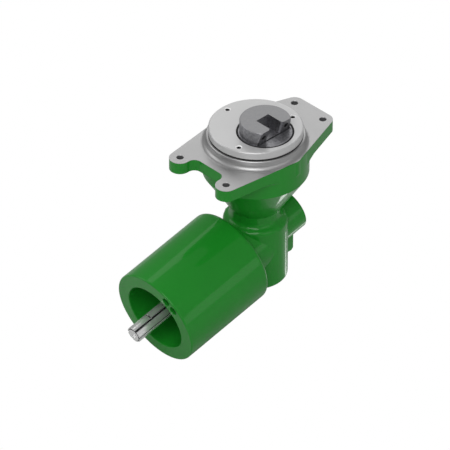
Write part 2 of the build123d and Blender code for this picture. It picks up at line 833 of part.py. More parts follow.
pocket_radius = planet_module * (planet_teeth + 2) / 2 + planet_pocket_clearance
seal_floor = disc_top - planet_seal_depth
flange_seat_low = disc_top - planet_flange_drop - planet_flange_thickness - 0.5
head_bore = head_bearing_size[1] / 2 + seat
pocket_top = upper_low - 2.5
pocket_floor = ring_gear_low - 3
with BuildPart() as carrier:
    add(turned(
        output_line,
        (0, disc_top),
        (disc_radius - disc_edge, disc_top),
        (disc_radius, disc_top - disc_edge),
        (disc_radius, disc_bottom),
        (carrier_seal_journal, disc_bottom),
        (carrier_seal_journal, -upper_bearing_depth),
        (upper_bearing_size[0] / 2, -upper_bearing_depth),
        (upper_bearing_size[0] / 2, upper_low),
        (carrier_waist_radius, pocket_top),
        (carrier_waist_radius, carrier_waist_bottom),
        (carrier_stem_radius, carrier_stem_top),
        (carrier_stem_radius, -neck_bearing_depth),
        (neck_bearing_size[0] / 2, -neck_bearing_depth),
        (neck_bearing_size[0] / 2, neck_low),
        (carrier_seat_radius, neck_low),
        (carrier_seat_radius, carrier_end),
        (0, carrier_end),
    ).part)
    add(turned(
        planet_line,
        (0, disc_top + 1),
        (planet_seal_outer + seat, disc_top + 1),
        (planet_seal_outer + seat, seal_floor),
        (planet_flange_radius + loose, seal_floor),
        (planet_flange_radius + loose, flange_seat_low),
        (head_bore, flange_seat_low),
        (head_bore, head_low),
        (head_bore - 5, head_low),
        (head_bore - 5, pocket_top),
        (pocket_radius, pocket_top),
        (pocket_radius, pocket_floor),
        (end_cup_radius + seat, pocket_floor),
        (end_cup_radius + seat, end_low - 1),
        (0, end_low - 1),
    ).part, mode=Mode.SUBTRACT)
    for angle in disc_hole_angles:
        with Locations(output_line.offset(disc_top)):
            with PolarLocations(disc_hole_circle, 1, start_angle=angle):
                CounterSinkHole(disc_hole_radius, disc_hole_radius + disc_hole_chamfer, disc_hole_depth)
    # Groove and keyway on the gear seat, groove over the planet bearing
    add(sleeve(output_line, carrier_seat_radius - ring_bite, carrier_seat_radius + 1,
               gear_ring_low - seat, gear_ring_low + ring_thickness + seat).part, mode=Mode.SUBTRACT)
    add(sleeve(planet_line, head_bore - 1, head_bore + ring_bite + seat, -head_bearing_depth - seat,
               -head_bearing_depth + ring_thickness + seat).part, mode=Mode.SUBTRACT)
    add(key_block(output_line, carrier_seat_radius, shaft_key, gear_key_low, gear_key_high).part,
        mode=Mode.SUBTRACT)
save(carrier, "carrier")

with BuildPart() as gear_key:
    add(key_block(output_line, carrier_seat_radius, shaft_key, gear_key_low, gear_key_high).part)
save(gear_key, "bevel_gear_key")
save(retaining_ring(output_line, carrier_seat_radius - ring_bite, carrier_seat_radius + ring_reach - 0.5,
                    gear_ring_low, 5), "bevel_gear_ring")
save(retaining_ring(output_line, upper_bore - ring_reach, upper_bore + ring_bite, -upper_bearing_depth, 16),
     "upper_bearing_retaining_ring")
save(retaining_ring(output_line, neck_bore - ring_reach, neck_bore + ring_bite, neck_low - ring_thickness, 9),
     "neck_bearing_retaining_ring")
save(retaining_ring(planet_line, head_bore - ring_reach, head_bore + ring_bite, -head_bearing_depth, 9),
     "planet_bearing_retaining_ring")

# Seals

save(lip_seal(output_line, carrier_seal_journal, carrier_seal_bore, carrier_seal_low, -carrier_seal_depth),
     "carrier_seal")
save(lip_seal(planet_line, planet_flange_radius, planet_seal_outer, seal_floor, disc_top), "planet_seal")
save(lip_seal(input_line, seal_journal_radius, seal_outer_radius, input_seal_low, seal_carrier_front),
     "input_seal")

# Planet shaft with its slotted head

planet_flange_top = disc_top - planet_flange_drop
planet_flange_low = planet_flange_top - planet_flange_thickness
head_lean = (head_face_top - head_face_foot) / (head_top - planet_flange_top)
with BuildPart() as planet:
    add(turned(
        planet_line,
        (0, head_top),
        (head_radius - head_edge, head_top),
        (head_radius, head_top - head_edge),
        (head_radius, planet_flange_top),
        (planet_flange_radius, planet_flange_top),
        (planet_flange_radius, planet_flange_low),
        (head_bearing_size[0] / 2 + 5, planet_flange_low),
        (head_bearing_size[0] / 2 + 5, -head_bearing_depth),
        (head_bearing_size[0] / 2, -head_bearing_depth),
        (head_bearing_size[0] / 2, head_low),
        (planet_stem_radius, head_low),
        (planet_stem_radius, -ring_gear_depth),
        (planet_gear_seat_radius, -ring_gear_depth),
        (planet_gear_seat_radius, planet_seat_low),
        (planet_end_radius, planet_seat_low),
        (planet_end_radius, end_low),
        (0, end_low),
    ).part)
    # Leaning face and slot for the knife arm
    with BuildSketch(profile_plane(planet_line)):
        with BuildLine():
            Polyline(
                (head_face_foot, planet_flange_top),
                (2 * head_radius, planet_flange_top),
                (2 * head_radius, head_top + 1),
                (head_face_top + head_lean, head_top + 1),
                close=True,
            )
        make_face()
    extrude(amount=2 * head_radius, both=True, mode=Mode.SUBTRACT)
    with BuildSketch(planet_line.offset(planet_flange_top)):
        with Locations(((2 * head_radius - slot_past_axis) / 2, 0)):
            Rectangle(2 * head_radius + slot_past_axis, slot_width)
    extrude(amount=head_top - planet_flange_top + 1, mode=Mode.SUBTRACT)
    leaning = planet.edges().filter_by(GeomType.LINE).filter_by(
        lambda edge: edge.length > head_height - 1 and abs(edge.center().Y) < slot_width / 2 + 0.1
        and 0.5 < abs(edge.tangent_at(0.5).Z) < 0.99)
    fillet(leaning, slot_mouth_radius)
    # Groove at the face's foot, and the lowered ledge outside it
    for edge_x, depth in ((ledge_groove_width, ledge_groove_depth), (2 * head_radius, ledge_recess_depth)):
        with BuildSketch(planet_line.offset(planet_flange_top)):
            Circle(ledge_recess_radius)
            with Locations((head_face_foot + edge_x / 2, 0)):
                Rectangle(edge_x, 2 * head_radius + 4, mode=Mode.INTERSECT)
        extrude(amount=-depth, mode=Mode.SUBTRACT)
    clamp_plane = Plane(origin=(crank_radius + head_face_top, 0, disc_top + clamp_hole_height),
                        x_dir=(0, 1, 0), z_dir=(1, 0, 0))
    with Locations(clamp_plane):
        with Locations((-clamp_hole_spacing / 2, 0), (clamp_hole_spacing / 2, 0)):
            Hole(clamp_hole_radius, clamp_hole_depth)
    add(sleeve(planet_line, planet_gear_seat_radius - ring_bite, planet_gear_seat_radius + 1,
               planet_ring_low - seat, planet_ring_low + ring_thickness + seat).part, mode=Mode.SUBTRACT)
    add(key_block(planet_line, planet_gear_seat_radius, gear_shaft_key, planet_key_low, planet_key_high).part,
        mode=Mode.SUBTRACT)
save(planet, "planet_shaft")
with BuildPart() as planet_key:
    add(key_block(planet_line, planet_gear_seat_radius, gear_shaft_key, planet_key_low, planet_key_high).part)
save(planet_key, "planet_gear_key")
save(retaining_ring(planet_line, planet_gear_seat_radius - ring_bite, planet_gear_seat_radius + 2.8,
                    planet_ring_low, 4), "planet_gear_ring")

# Planet gear and ring gear

planet_pitch = planet_module * planet_teeth / 2
ring_pitch = planet_module * ring_teeth / 2
half_tooth = math.pi * planet_module / 4
with BuildPart() as planet_gear:
    with BuildSketch(planet_line.offset(ring_gear_low)):
        root = planet_pitch - 1.25 * planet_module
        Circle(root + 0.3)
        with PolarLocations(0, planet_teeth):
            add(tooth_face(planet_pitch, half_tooth - tooth_thinning / 2, root, planet_pitch + planet_module))
        Circle(planet_gear_seat_radius, mode=Mode.SUBTRACT)
        with Locations((planet_gear_seat_radius, 0)):
            Rectangle(2 * (gear_shaft_key[1] - gear_shaft_key[2] + key_clearance), gear_shaft_key[0],
                      mode=Mode.SUBTRACT)
    extrude(amount=ring_gear_width)
save(planet_gear, "planet_gear")
with BuildPart() as ring_gear:
    with BuildSketch(output_line.offset(ring_gear_low)):
        Circle(ring_gear_body_radius)
    extrude(amount=ring_gear_width)
    with BuildSketch(output_line.offset(ring_flange_low)):
        Circle(ring_gear_flange_radius - seat)
    extrude(amount=ring_gear_flange)
    with BuildSketch(output_line.offset(ring_gear_low)):
        Circle(ring_gear_tip_radius)
        with PolarLocations(0, ring_teeth):
            add(tooth_face(ring_pitch, half_tooth + tooth_thinning / 2, ring_gear_tip_radius - 1,
                           ring_pitch + 1.25 * planet_module))
    extrude(amount=ring_gear_width, mode=Mode.SUBTRACT)
    with BuildSketch(Plane.XY.offset(-ring_gear_depth)):
        with PolarLocations(ring_screw_circle, ring_screw_count, start_angle=22.5):
            Circle(ring_screw[1] + loose)
    extrude(amount=-ring_screw[2] - 0.5, mode=Mode.SUBTRACT)
    with BuildSketch(Plane.XY.offset(-ring_gear_depth)):
        with PolarLocations(ring_screw_circle, ring_screw_count, start_angle=22.5):
            Circle(ring_screw[0] + loose)
    extrude(amount=-ring_gear_flange, mode=Mode.SUBTRACT)
save(ring_gear, "ring_gear")
save(socket_screws(output_line, ring_screw_circle, ring_screw_count, -ring_gear_depth - ring_screw[2] - 0.5,
                   ring_screw, ring_screw_length, 22.5), "ring_gear_screws")

# Bevel pair

gear_key_cut = key_block(gear_line, gear_bore, shaft_key, 0, neck_low - crossing_z, key_clearance).part
with BuildPart() as bevel_gear:
    add(bevel_wheel(gear_line, gear_teeth, gear_cone, gear_bore, gear_hub_radius, neck_low - crossing_z, -90,
                    gear_recess_radius).part)
    add(gear_key_cut, mode=Mode.SUBTRACT)
save(bevel_gear, "bevel_gear")
pinion_key_cut = key_block(input_line, pinion_bore, shaft_key, pinion_toe - 1, pinion_hub_end + 1,
                           key_clearance).part
with BuildPart() as bevel_pinion:
    add(bevel_wheel(input_line, pinion_teeth, pinion_cone, pinion_bore, pinion_hub_radius,
                    pinion_hub_end, 0).part)
    add(pinion_key_cut, mode=Mode.SUBTRACT)
save(bevel_pinion, "bevel_pinion")
with BuildPart() as pinion_key:
    add(key_block(input_line, pinion_bore, shaft_key, pinion_key_low, pinion_key_high).part)
save(pinion_key, "bevel_pinion_key")
save(retaining_ring(input_line, pinion_bore - ring_bite, pinion_bore + ring_reach, pinion_ring_low, 5),
     "bevel_pinion_ring")

# Input shaft

bearing_journal = input_bearing_size[0] / 2
rear_journal = rear_bearing_size[0] / 2
with BuildPart() as input_shaft:
    add(turned(
        input_line,
        (0, rear_low - 1),
        (rear_journal - 1, rear_low - 1),
        (rear_journal, rear_low),
        (rear_journal, rear_high),
        (pinion_bore - 0.5, rear_high),
        (pinion_bore - 0.5, rear_high + rear_shoulder_width),
        (drive_shaft_radius, rear_high + rear_shoulder_width + 4),
        (drive_shaft_radius, pinion_ring_low - 3),
        (pinion_bore, pinion_ring_low - 3),
        (pinion_bore, pinion_hub_end),
        (bearing_journal, pinion_hub_end),
        (bearing_journal, washer_low),
        (bearing_journal - 0.3, washer_low),
        (bearing_journal - 0.3, nut_high),
        (seal_journal_radius, nut_high),
        (seal_journal_radius, seal_carrier_front + 5),
        (neck_journal_radius, seal_carrier_front + 7),
        (neck_journal_radius, spline_start),
        (spline_inner, spline_start + 4),
        (spline_inner, shaft_end - 1),
        (spline_inner - 1, shaft_end),
        (0, shaft_end),
    ).part)
    with BuildSketch(input_line.offset(spline_start)):
        with PolarLocations((spline_inner + spline_outer) / 2 - 1, spline_count, start_angle=90):
            Rectangle(spline_outer - spline_inner + 2.6, spline_key_width)
        Circle(spline_outer, mode=Mode.INTERSECT)
    extrude(amount=shaft_end - spline_start - 1)
    # Notch across the uppermost key for the coupling's locking pin
    with BuildSketch(input_line.offset(lock_notch_station)):
        with Locations((0, spline_outer)):
            Rectangle(spline_key_width + 1, 2 * (spline_outer - spline_inner))
    extrude(amount=lock_notch_width, mode=Mode.SUBTRACT)
    add(sleeve(input_line, pinion_bore - ring_bite, pinion_bore + 1, pinion_ring_low - seat,
               pinion_ring_low + ring_thickness + seat).part, mode=Mode.SUBTRACT)
    add(key_block(input_line, pinion_bore, shaft_key, pinion_key_low, pinion_key_high).part,
        mode=Mode.SUBTRACT)
    # Centre hole in the splined end
    with Locations(input_line.offset(shaft_end)):
        CounterSinkHole(2.5, 5, 12, 60)
save(input_shaft, "input_shaft")

save(sleeve(input_line, bearing_journal, bearing_journal + 5, spacer_low, front_b, 0.5), "inner_spacer")
save(sleeve(input_line, input_bore - seat - 5, input_bore - seat, spacer_low, front_b, 0.5), "outer_spacer")
with BuildPart() as tab_washer:
    add(sleeve(input_line, bearing_journal - 0.3, lock_nut_radius - 3, washer_low, nut_low).part)
    with BuildSketch(input_line.offset(washer_low)):
        with PolarLocations(lock_nut_radius - 2, tab_count):
            Rectangle(*tab_size)
    extrude(amount=tab_washer_thickness)
save(tab_washer, "tab_washer")
with BuildPart() as lock_nut:
    add(sleeve(input_line, bearing_journal - 0.3, lock_nut_radius, nut_low, nut_high, 1).part)
    with BuildSketch(input_line.offset(nut_low)):
        with PolarLocations(lock_nut_radius, lock_nut_slots):
            Rectangle(*lock_nut_slot)
    extrude(amount=lock_nut_width, mode=Mode.SUBTRACT)
save(lock_nut, "lock_nut")

with BuildPart() as seal_carrier:
    add(turned(
        input_line,
        (seal_journal_radius + 4, input_seal_low - 2.5),
        (input_bore - 6, input_seal_low - 2.5),
        (input_bore - 6, washer_low),
        (input_bore - 2 * seat, washer_low),
        (input_bore - 2 * seat, web_front),
        (seal_carrier_radius - 1, web_front),
        (seal_carrier_radius, web_front + 1),
        (seal_carrier_radius, seal_carrier_front - 1),
        (seal_carrier_radius - 1, seal_carrier_front),
        (seal_outer_radius, seal_carrier_front),
        (seal_outer_radius, input_seal_low),
        (seal_journal_radius + 4, input_seal_low),
    ).part)
    with BuildSketch(input_line.offset(web_front)):
        with PolarLocations(tube_screw_circle, tube_screw_count):
            Circle(tube_screw[0] + loose)
    extrude(amount=seal_carrier_flange, mode=Mode.SUBTRACT)
save(seal_carrier, "seal_carrier")
save(socket_screws(input_line, tube_screw_circle, tube_screw_count, seal_carrier_front, tube_screw,
                   tube_screw_length), "tube_screws")

# Rear bearing's retaining ring and the cap over it

save(retaining_ring(input_line, rear_bore - ring_reach, rear_bore + ring_bite, rear_low - ring_thickness, 9),
     "rear_bearing_retaining_ring")
save(sleeve(input_line, 0, rear_bore, rear_boss_end + 0.5, rear_boss_end + 5.5, 0.5), "rear_cap")

# Column's cap with its sealing ring and retaining ring

with BuildPart() as cap:
    add(sleeve(output_line, 0, cap_radius - seat, cap_low, -cap_depth, 0.5).part)
    add(sleeve(output_line, cap_radius - 3, cap_radius, cap_low + 2.5, cap_low + 6).part, mode=Mode.SUBTRACT)
    with BuildSketch(output_line.offset(cap_low)):
        Circle(plug_radius)
    extrude(amount=cap_thickness, mode=Mode.SUBTRACT)
save(cap, "column_cap")
save(sleeve(output_line, cap_radius - 3, cap_radius - seat, cap_low + 2.7, cap_low + 5.8, 0.8),
     "cap_sealing_ring")
save(retaining_ring(output_line, cap_radius - 4.5, cap_radius + ring_bite, cap_low - ring_thickness, 12),
     "cap_retaining_ring")


# Drain plug in the cap and filler plug in the column's boss, alike, with their washers

with BuildPart(drain_line, filler_line) as plugs:
    Cylinder(plug_radius, plug_length, align=(Align.CENTER, Align.CENTER, Align.MIN))
    Cylinder(plug_collar, plug_collar_width, align=(Align.CENTER, Align.CENTER, Align.MAX))
with BuildPart() as oil_plugs:
    add(plugs.part)
    for line in (drain_line, filler_line):
        with BuildSketch(line.offset(-plug_collar_width)):
            RegularPolygon(plug_hexagon / 2, 6, major_radius=False)
        extrude(amount=-plug_head)
save(oil_plugs, "oil_plugs")
with BuildPart() as plug_washers:
    for line in (drain_line, filler_line):
        add(sleeve(line, plug_radius, plug_radius + 3, 0, plug_washer).part)
save(plug_washers, "plug_washers")
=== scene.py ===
import math

import bpy
from mathutils import Matrix, Vector


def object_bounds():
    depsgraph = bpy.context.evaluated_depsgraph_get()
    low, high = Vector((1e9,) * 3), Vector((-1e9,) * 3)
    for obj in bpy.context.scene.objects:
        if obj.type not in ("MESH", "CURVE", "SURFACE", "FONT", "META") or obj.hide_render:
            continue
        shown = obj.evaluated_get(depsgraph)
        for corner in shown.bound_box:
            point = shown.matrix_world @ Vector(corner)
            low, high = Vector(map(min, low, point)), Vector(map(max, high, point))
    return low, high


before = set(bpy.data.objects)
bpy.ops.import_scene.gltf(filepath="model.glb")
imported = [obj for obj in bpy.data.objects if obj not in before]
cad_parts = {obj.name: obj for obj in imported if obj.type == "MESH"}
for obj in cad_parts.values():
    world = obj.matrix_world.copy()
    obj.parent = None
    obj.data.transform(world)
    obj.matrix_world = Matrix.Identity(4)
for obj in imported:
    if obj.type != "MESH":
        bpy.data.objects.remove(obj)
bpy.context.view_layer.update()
print("frame loaded")

# What a user would change, piece by piece. Lengths are in metres, colours are sRGB hex.
paint = {
    "colour": "#1e9128",
    "worn": "#1c8925",
    "roughness": 0.36,
    "specular": 0.1,
    "coat": 0.5,
    "coatRoughness": 0.05,
    "grain": 0.0025,
    "grainDepth": 0.00003,
    "grainStrength": 0.12,
    "toneScale": 14.0,
}
machined = {
    "colour": "#b6b6b6",
    "roughness": 0.4,
    "metallic": 0.9,
    "discColour": "#cfcfcf",
    "discRoughness": 0.33,
    "discMetallic": 0.25,
    "ringSpacing": 0.0028274,
    "ringDepth": 0.000004,
    "ringStrength": 0.1,
    "cloudScale": 22.0,
    "glossSpread": (0.04, 0.05),
    "flangeTop": -0.0155,
    "bareBelowTop": 0.0006,
    "gapRadius": 0.0772,
    "gapTop": 0.0022,
    "gapBottom": -0.0012,
}
# Painted shade: the joint under the disc's rim is painted dark inside gapRadius, from gapBottom up to
# gapTop.
# Hole centres are given on one side only, as mirrored twins follow. Each hole is dark inside its radius.
flangeHoles = {"centres": ((0.053, -0.119), (0.0325, 0.121)), "radius": 0.0058, "colour": "#646466"}
discHoles = {
    "centres": ((-0.0653, 0.0), (0.02308, 0.06108)),
    "radius": 0.0036,
    # The disc's holes and the joint under its rim are painted this near black as painted shade
    "colour": "#0c0c0c",
    "rimRadius": 0.0056,
    # A white ring round each hole, out to rimRadius, is a painted highlight
    "paintedRimHighlight": "#ffffff",
}
headSteel = {
    "colour": "#9c9c9d",
    "patch": "#88888a",
    "sideColour": "#acacaf",
    "sidePatch": "#858589",
    "roughness": 0.42,
    "patchSize": 0.004,
    "top": 0.0377,
    "blotchRange": (0.38, 0.62),
    "grainDepth": 0.00002,
    "grainScale": 2500.0,
    "grainStrength": 0.4,
}
shaftSteel = {
    "colour": "#f2f2f2",
    "roughness": 0.16,
    "metallic": 0.72,
    # The grooves between the spline keys are darkened with this painted shade
    "groove": "#3c3c3e",
    "grooveRadius": 0.0124,
    "centreRadius": 0.0105,
    "lineStart": (0.0, 0.0, -0.2045),
    "lineTilt": 12.0,
    "endStation": 0.2818,
}
rubber = {"colour": "#0b0b0c", "roughness": 0.6, "glossSpread": 0.06, "glossScale": 180.0}
# The bare steels change slowly in tone and polish over about toneSize
bareSteel = {"toneSize": 0.006, "glossSpread": (0.05, 0.07)}
innerMetals = {
    "gear": ("#8f9094", 0.3),
    "screw": ("#3c3d40", 0.4),
    "spring": ("#4a4b4f", 0.38),
    "key": ("#a9aaad", 0.32),
    "turned": ("#a0a0a3", 0.34),
    "copper": ("#b46a45", 0.35),
    "bearing": ("#c6c7ca", 0.16),
    "brass": ("#b08d4a", 0.35),
}
mattRoughness = 0.7
# The radius over which Blender's ring wave makes one turn at scale 1
waveTurn = 0.314159
camera = {
    "azimuth": 45.65,
    "elevation": 36.3,
    "focalPixels": 5019.0,
    "framePixels": 450.0,
    "distance": 8.11,
    "target": (0.0, 0.0, -0.0155),
    "targetPixel": (255.82, 140.99),
    "sensor": 36.0,
    "clipEnd": 60.0,
}
floorSheet = {"size": 30.0, "gap": 0.002, "colour": "#d8d8d8"}
worldFill = 0.3
# Area lamps that point at lampAim: azimuth and elevation in degrees, distance, width, height, power in watts
lampAim = (0, -0.06, -0.13)
lamps = {
    "key": (34.0, 48.0, 2.6, 1.6, 1.6, 25.0),
    "backPanel": (215.0, 42.0, 3.0, 2.6, 2.6, 20.0),
    "left": (-60.0, 30.0, 2.4, 1.4, 1.4, 8.0),
    "right": (88.0, 26.0, 2.6, 1.4, 1.4, 4.5),
    "strip": (114.0, 3.0, 2.6, 0.5, 1.0, 1.2),
}
columnEdge = {"place": (0.041, 0.165, -0.334), "width": 0.02, "length": 0.12, "power": 0.025}


def srgb(code):
    parts = [int(code[i:i + 2], 16) / 255 for i in (1, 3, 5)]
    linear = [p / 12.92 if p <= 0.04045 else ((p + 0.055) / 1.055) ** 2.4 for p in parts]
    return (*linear, 1.0)


def addNode(tree, kind, settings=None, **links):
    # One shader node: settings go to its properties or sockets, links are sockets it is fed from
    made = tree.nodes.new(kind)
    for key, value in (settings or {}).items():
        if isinstance(key, int) or key in made.inputs:
            made.inputs[key].default_value = value
        else:
            setattr(made, key, value)
    for key, source in links.items():
        socket = int(key[1:]) if key[0] == "i" and key[1:].isdigit() else key.replace("_", " ")
        tree.links.new(source, made.inputs[socket])
    return made


def newMaterial(name):
    material = bpy.data.materials.new(name)
    material.use_nodes = True
    tree = material.node_tree
    tree.nodes.clear()
    out = tree.nodes.new("ShaderNodeOutputMaterial")
    shader = tree.nodes.new("ShaderNodeBsdfPrincipled")
    tree.links.new(shader.outputs[0], out.inputs[0])
    return material, tree, shader


def shaderOf(tree):
    return next(made for made in tree.nodes if made.type == "BSDF_PRINCIPLED")


def outputOf(tree):
    return next(made for made in tree.nodes if made.type == "OUTPUT_MATERIAL").inputs[0]


def metal(name, colour, roughness, patch=None, patchSize=bareSteel["toneSize"], metallic=1.0):
    # Bare metal: bright reflections, with slow changes of tone and polish from handling and heat
    material, tree, shader = newMaterial(name)
    low, high = bareSteel["glossSpread"]
    place = addNode(tree, "ShaderNodeTexCoord")
    noise = addNode(tree, "ShaderNodeTexNoise", {"Scale": 1 / patchSize, "Detail": 5.0},
                    Vector=place.outputs["Object"])
    tone = addNode(tree, "ShaderNodeMix", {"data_type": "RGBA", 6: srgb(patch or colour), 7: srgb(colour)},
                   i0=noise.outputs["Fac"])
    gloss = addNode(tree, "ShaderNodeMapRange", {"To Min": roughness - low, "To Max": roughness + high},
                    Value=noise.outputs["Fac"])
    tree.links.new(tone.outputs[2], shader.inputs["Base Color"])
    tree.links.new(gloss.outputs[0], shader.inputs["Roughness"])
    shader.inputs["Metallic"].default_value = metallic
    return material


def forgedHead():
    # Hardened steel: an even ground top, and sides left darker and blotched by the heat treatment
    material = metal("hardenedHeadSteel", headSteel["colour"], headSteel["roughness"],
                     headSteel["patch"], headSteel["patchSize"])
    tree = material.node_tree
    shader = shaderOf(tree)
    place = addNode(tree, "ShaderNodeTexCoord")
    fine = addNode(tree, "ShaderNodeTexNoise", {"Scale": headSteel["grainScale"], "Detail": 3.0},
                   Vector=place.outputs["Object"])
    lift = addNode(tree, "ShaderNodeBump",
                   {"Strength": headSteel["grainStrength"], "Distance": headSteel["grainDepth"]},
                   Height=fine.outputs["Fac"])
    tree.links.new(lift.outputs[0], shader.inputs["Normal"])
    blotch = addNode(tree, "ShaderNodeTexNoise",
                     {"Scale": 1 / headSteel["patchSize"], "Detail": 6.0, "Roughness": 0.7},
                     Vector=place.outputs["Object"])
    low, high = headSteel["blotchRange"]
    sharp = addNode(tree, "ShaderNodeMapRange", {"From Min": low, "From Max": high},
                    Value=blotch.outputs["Fac"])
    side = addNode(tree, "ShaderNodeMix", {
        "data_type": "RGBA", 6: srgb(headSteel["sidePatch"]), 7: srgb(headSteel["sideColour"])},
        i0=sharp.outputs[0])
    split = addNode(tree, "ShaderNodeSeparateXYZ", None, Vector=place.outputs["Object"])
    top = mathNode(tree, "GREATER_THAN", split.outputs["Z"], headSteel["top"])
    even = shader.inputs["Base Color"].links[0].from_socket
    both = addNode(tree, "ShaderNodeMix", {"data_type": "RGBA"}, i0=top, i6=side.outputs[2], i7=even)
    tree.links.new(both.outputs[2], shader.inputs["Base Color"])
    return material


def brightShaft():
    # Ground and polished splines, with painted shade darkening the grooves between the keys
    material = metal("brightShaftSteel", shaftSteel["colour"], shaftSteel["roughness"],
                     metallic=shaftSteel["metallic"])
    tree = material.node_tree
    shader = shaderOf(tree)
    tilt = math.radians(shaftSteel["lineTilt"])
    along = (0.0, -math.cos(tilt), -math.sin(tilt))
    place = addNode(tree, "ShaderNodeTexCoord")
    offset = addNode(tree, "ShaderNodeVectorMath", {"operation": "SUBTRACT", 1: shaftSteel["lineStart"]},
                     i0=place.outputs["Object"])
    turned = addNode(tree, "ShaderNodeVectorMath", {"operation": "CROSS_PRODUCT", 1: along},
                     i0=offset.outputs[0])
    reach = addNode(tree, "ShaderNodeVectorMath", {"operation": "LENGTH"}, i0=turned.outputs[0])
    low = mathNode(tree, "LESS_THAN", reach.outputs["Value"], shaftSteel["grooveRadius"])
    ahead = addNode(tree, "ShaderNodeVectorMath", {"operation": "DOT_PRODUCT", 1: along},
                    i0=offset.outputs[0])
    onSide = mathNode(tree, "LESS_THAN", ahead.outputs["Value"], shaftSteel["endStation"])
    outside = mathNode(tree, "GREATER_THAN", reach.outputs["Value"], shaftSteel["centreRadius"])
    # Painted shade: the grooves between centreRadius and grooveRadius, up to endStation, go dark
    groove = mathNode(tree, "MULTIPLY", mathNode(tree, "MULTIPLY", low, onSide), outside)
    clean = shader.inputs["Base Color"].links[0].from_socket
    both = addNode(tree, "ShaderNodeMix", {"data_type": "RGBA", 7: srgb(shaftSteel["groove"])},
                   i0=groove, i6=clean)
    tree.links.new(both.outputs[2], shader.inputs["Base Color"])
    return material


def sealRubber():
    # Moulded rubber: near black and dull, with a faint unevenness of gloss
    material, tree, shader = newMaterial("sealRubber")
    roughness, spread = rubber["roughness"], rubber["glossSpread"]
    place = addNode(tree, "ShaderNodeTexCoord")
    noise = addNode(tree, "ShaderNodeTexNoise", {"Scale": rubber["glossScale"], "Detail": 3.0},
                    Vector=place.outputs["Object"])
    gloss = addNode(tree, "ShaderNodeMapRange", {"To Min": roughness - spread, "To Max": roughness + spread},
                    Value=noise.outputs["Fac"])
    tree.links.new(gloss.outputs[0], shader.inputs["Roughness"])
    shader.inputs["Base Color"].default_value = srgb(rubber["colour"])
    return material


def machinedShader(tree, place, shader, colour, roughness, metallic):
    # Turned steel: a satin face with faint tool rings about the output axis, drawn coarser than real ones
    low, high = machined["glossSpread"]
    rings = addNode(tree, "ShaderNodeTexWave", {
        "wave_type": "RINGS", "rings_direction": "Z", "Scale": waveTurn / machined["ringSpacing"],
        "Distortion": 0.4, "Detail": 2.0}, Vector=place.outputs["Object"])
    cloud = addNode(tree, "ShaderNodeTexNoise", {"Scale": machined["cloudScale"], "Detail": 3.0},
                    Vector=place.outputs["Object"])
    gloss = addNode(tree, "ShaderNodeMapRange", {"To Min": roughness - low, "To Max": roughness + high},
                    Value=cloud.outputs["Fac"])
    lift = addNode(tree, "ShaderNodeBump",
                   {"Strength": machined["ringStrength"], "Distance": machined["ringDepth"]},
                   Height=rings.outputs["Fac"])
    shader.inputs["Base Color"].default_value = srgb(colour)
    shader.inputs["Metallic"].default_value = metallic
    tree.links.new(gloss.outputs[0], shader.inputs["Roughness"])
    tree.links.new(lift.outputs[0], shader.inputs["Normal"])


def mathNode(tree, operation, first, second):
    # A maths node fed by a socket, with a number or another socket as its second value
    made = addNode(tree, "ShaderNodeMath", {"operation": operation})
    tree.links.new(first, made.inputs[0])
    if isinstance(second, (int, float)):
        made.inputs[1].default_value = second
    else:
        tree.links.new(second, made.inputs[1])
    return made.outputs[0]


def insideHoles(tree, split, holes, mirrored, radius="radius"):
    # 1 inside any of the holes, found from the distance to their axes, and 0 outside
    folded = {axis: split.outputs[axis] for axis in "XY"}
    folded[mirrored] = mathNode(tree, "ABSOLUTE", split.outputs[mirrored], 0.0)
    flat = addNode(tree, "ShaderNodeCombineXYZ", None, X=folded["X"], Y=folded["Y"])
    found = None
    for centre in holes["centres"]:
        reach = addNode(tree, "ShaderNodeVectorMath", {"operation": "DISTANCE", 1: (*centre, 0.0)},
                        i0=flat.outputs[0])
        near = mathNode(tree, "LESS_THAN", reach.outputs["Value"], holes[radius])
        found = near if found is None else mathNode(tree, "MAXIMUM", found, near)
    return found


def mattShader(tree, colour):
    made = tree.nodes.new("ShaderNodeBsdfPrincipled")
    made.inputs["Base Color"].default_value = srgb(colour)
    made.inputs["Roughness"].default_value = mattRoughness
    return made


def mixShaders(tree, factor, first, second):
    return addNode(tree, "ShaderNodeMixShader", None, i0=factor, i1=first, i2=second).outputs[0]


def machinedSteel():
    # The disc: turned steel, with painted shade making its tapped holes and the joint under its rim black
    material, tree, shader = newMaterial("turnedSteel")
    place = addNode(tree, "ShaderNodeTexCoord")
    machinedShader(tree, place, shader, machined["discColour"], machined["discRoughness"],
                   machined["discMetallic"])
    split = addNode(tree, "ShaderNodeSeparateXYZ", None, Vector=place.outputs["Object"])
    holes = insideHoles(tree, split, discHoles, "Y")
    # Painted shade: the disc's underside below gapTop is painted black
    jointShade = mathNode(tree, "LESS_THAN", split.outputs["Z"], machined["gapTop"])
    paintedShade = mathNode(tree, "MAXIMUM", holes, jointShade)
    paintedShadeBlack = mattShader(tree, discHoles["colour"])
    # The countersinks carry a painted highlight: a white ring round each hole, brighter than the turned face
    rims = insideHoles(tree, split, discHoles, "Y", "rimRadius")
    paintedHighlight = mattShader(tree, discHoles["paintedRimHighlight"])
    dressed = mixShaders(tree, rims, shader.outputs[0], paintedHighlight.outputs[0])
    tree.links.new(mixShaders(tree, paintedShade, dressed, paintedShadeBlack.outputs[0]), outputOf(tree))
    return material


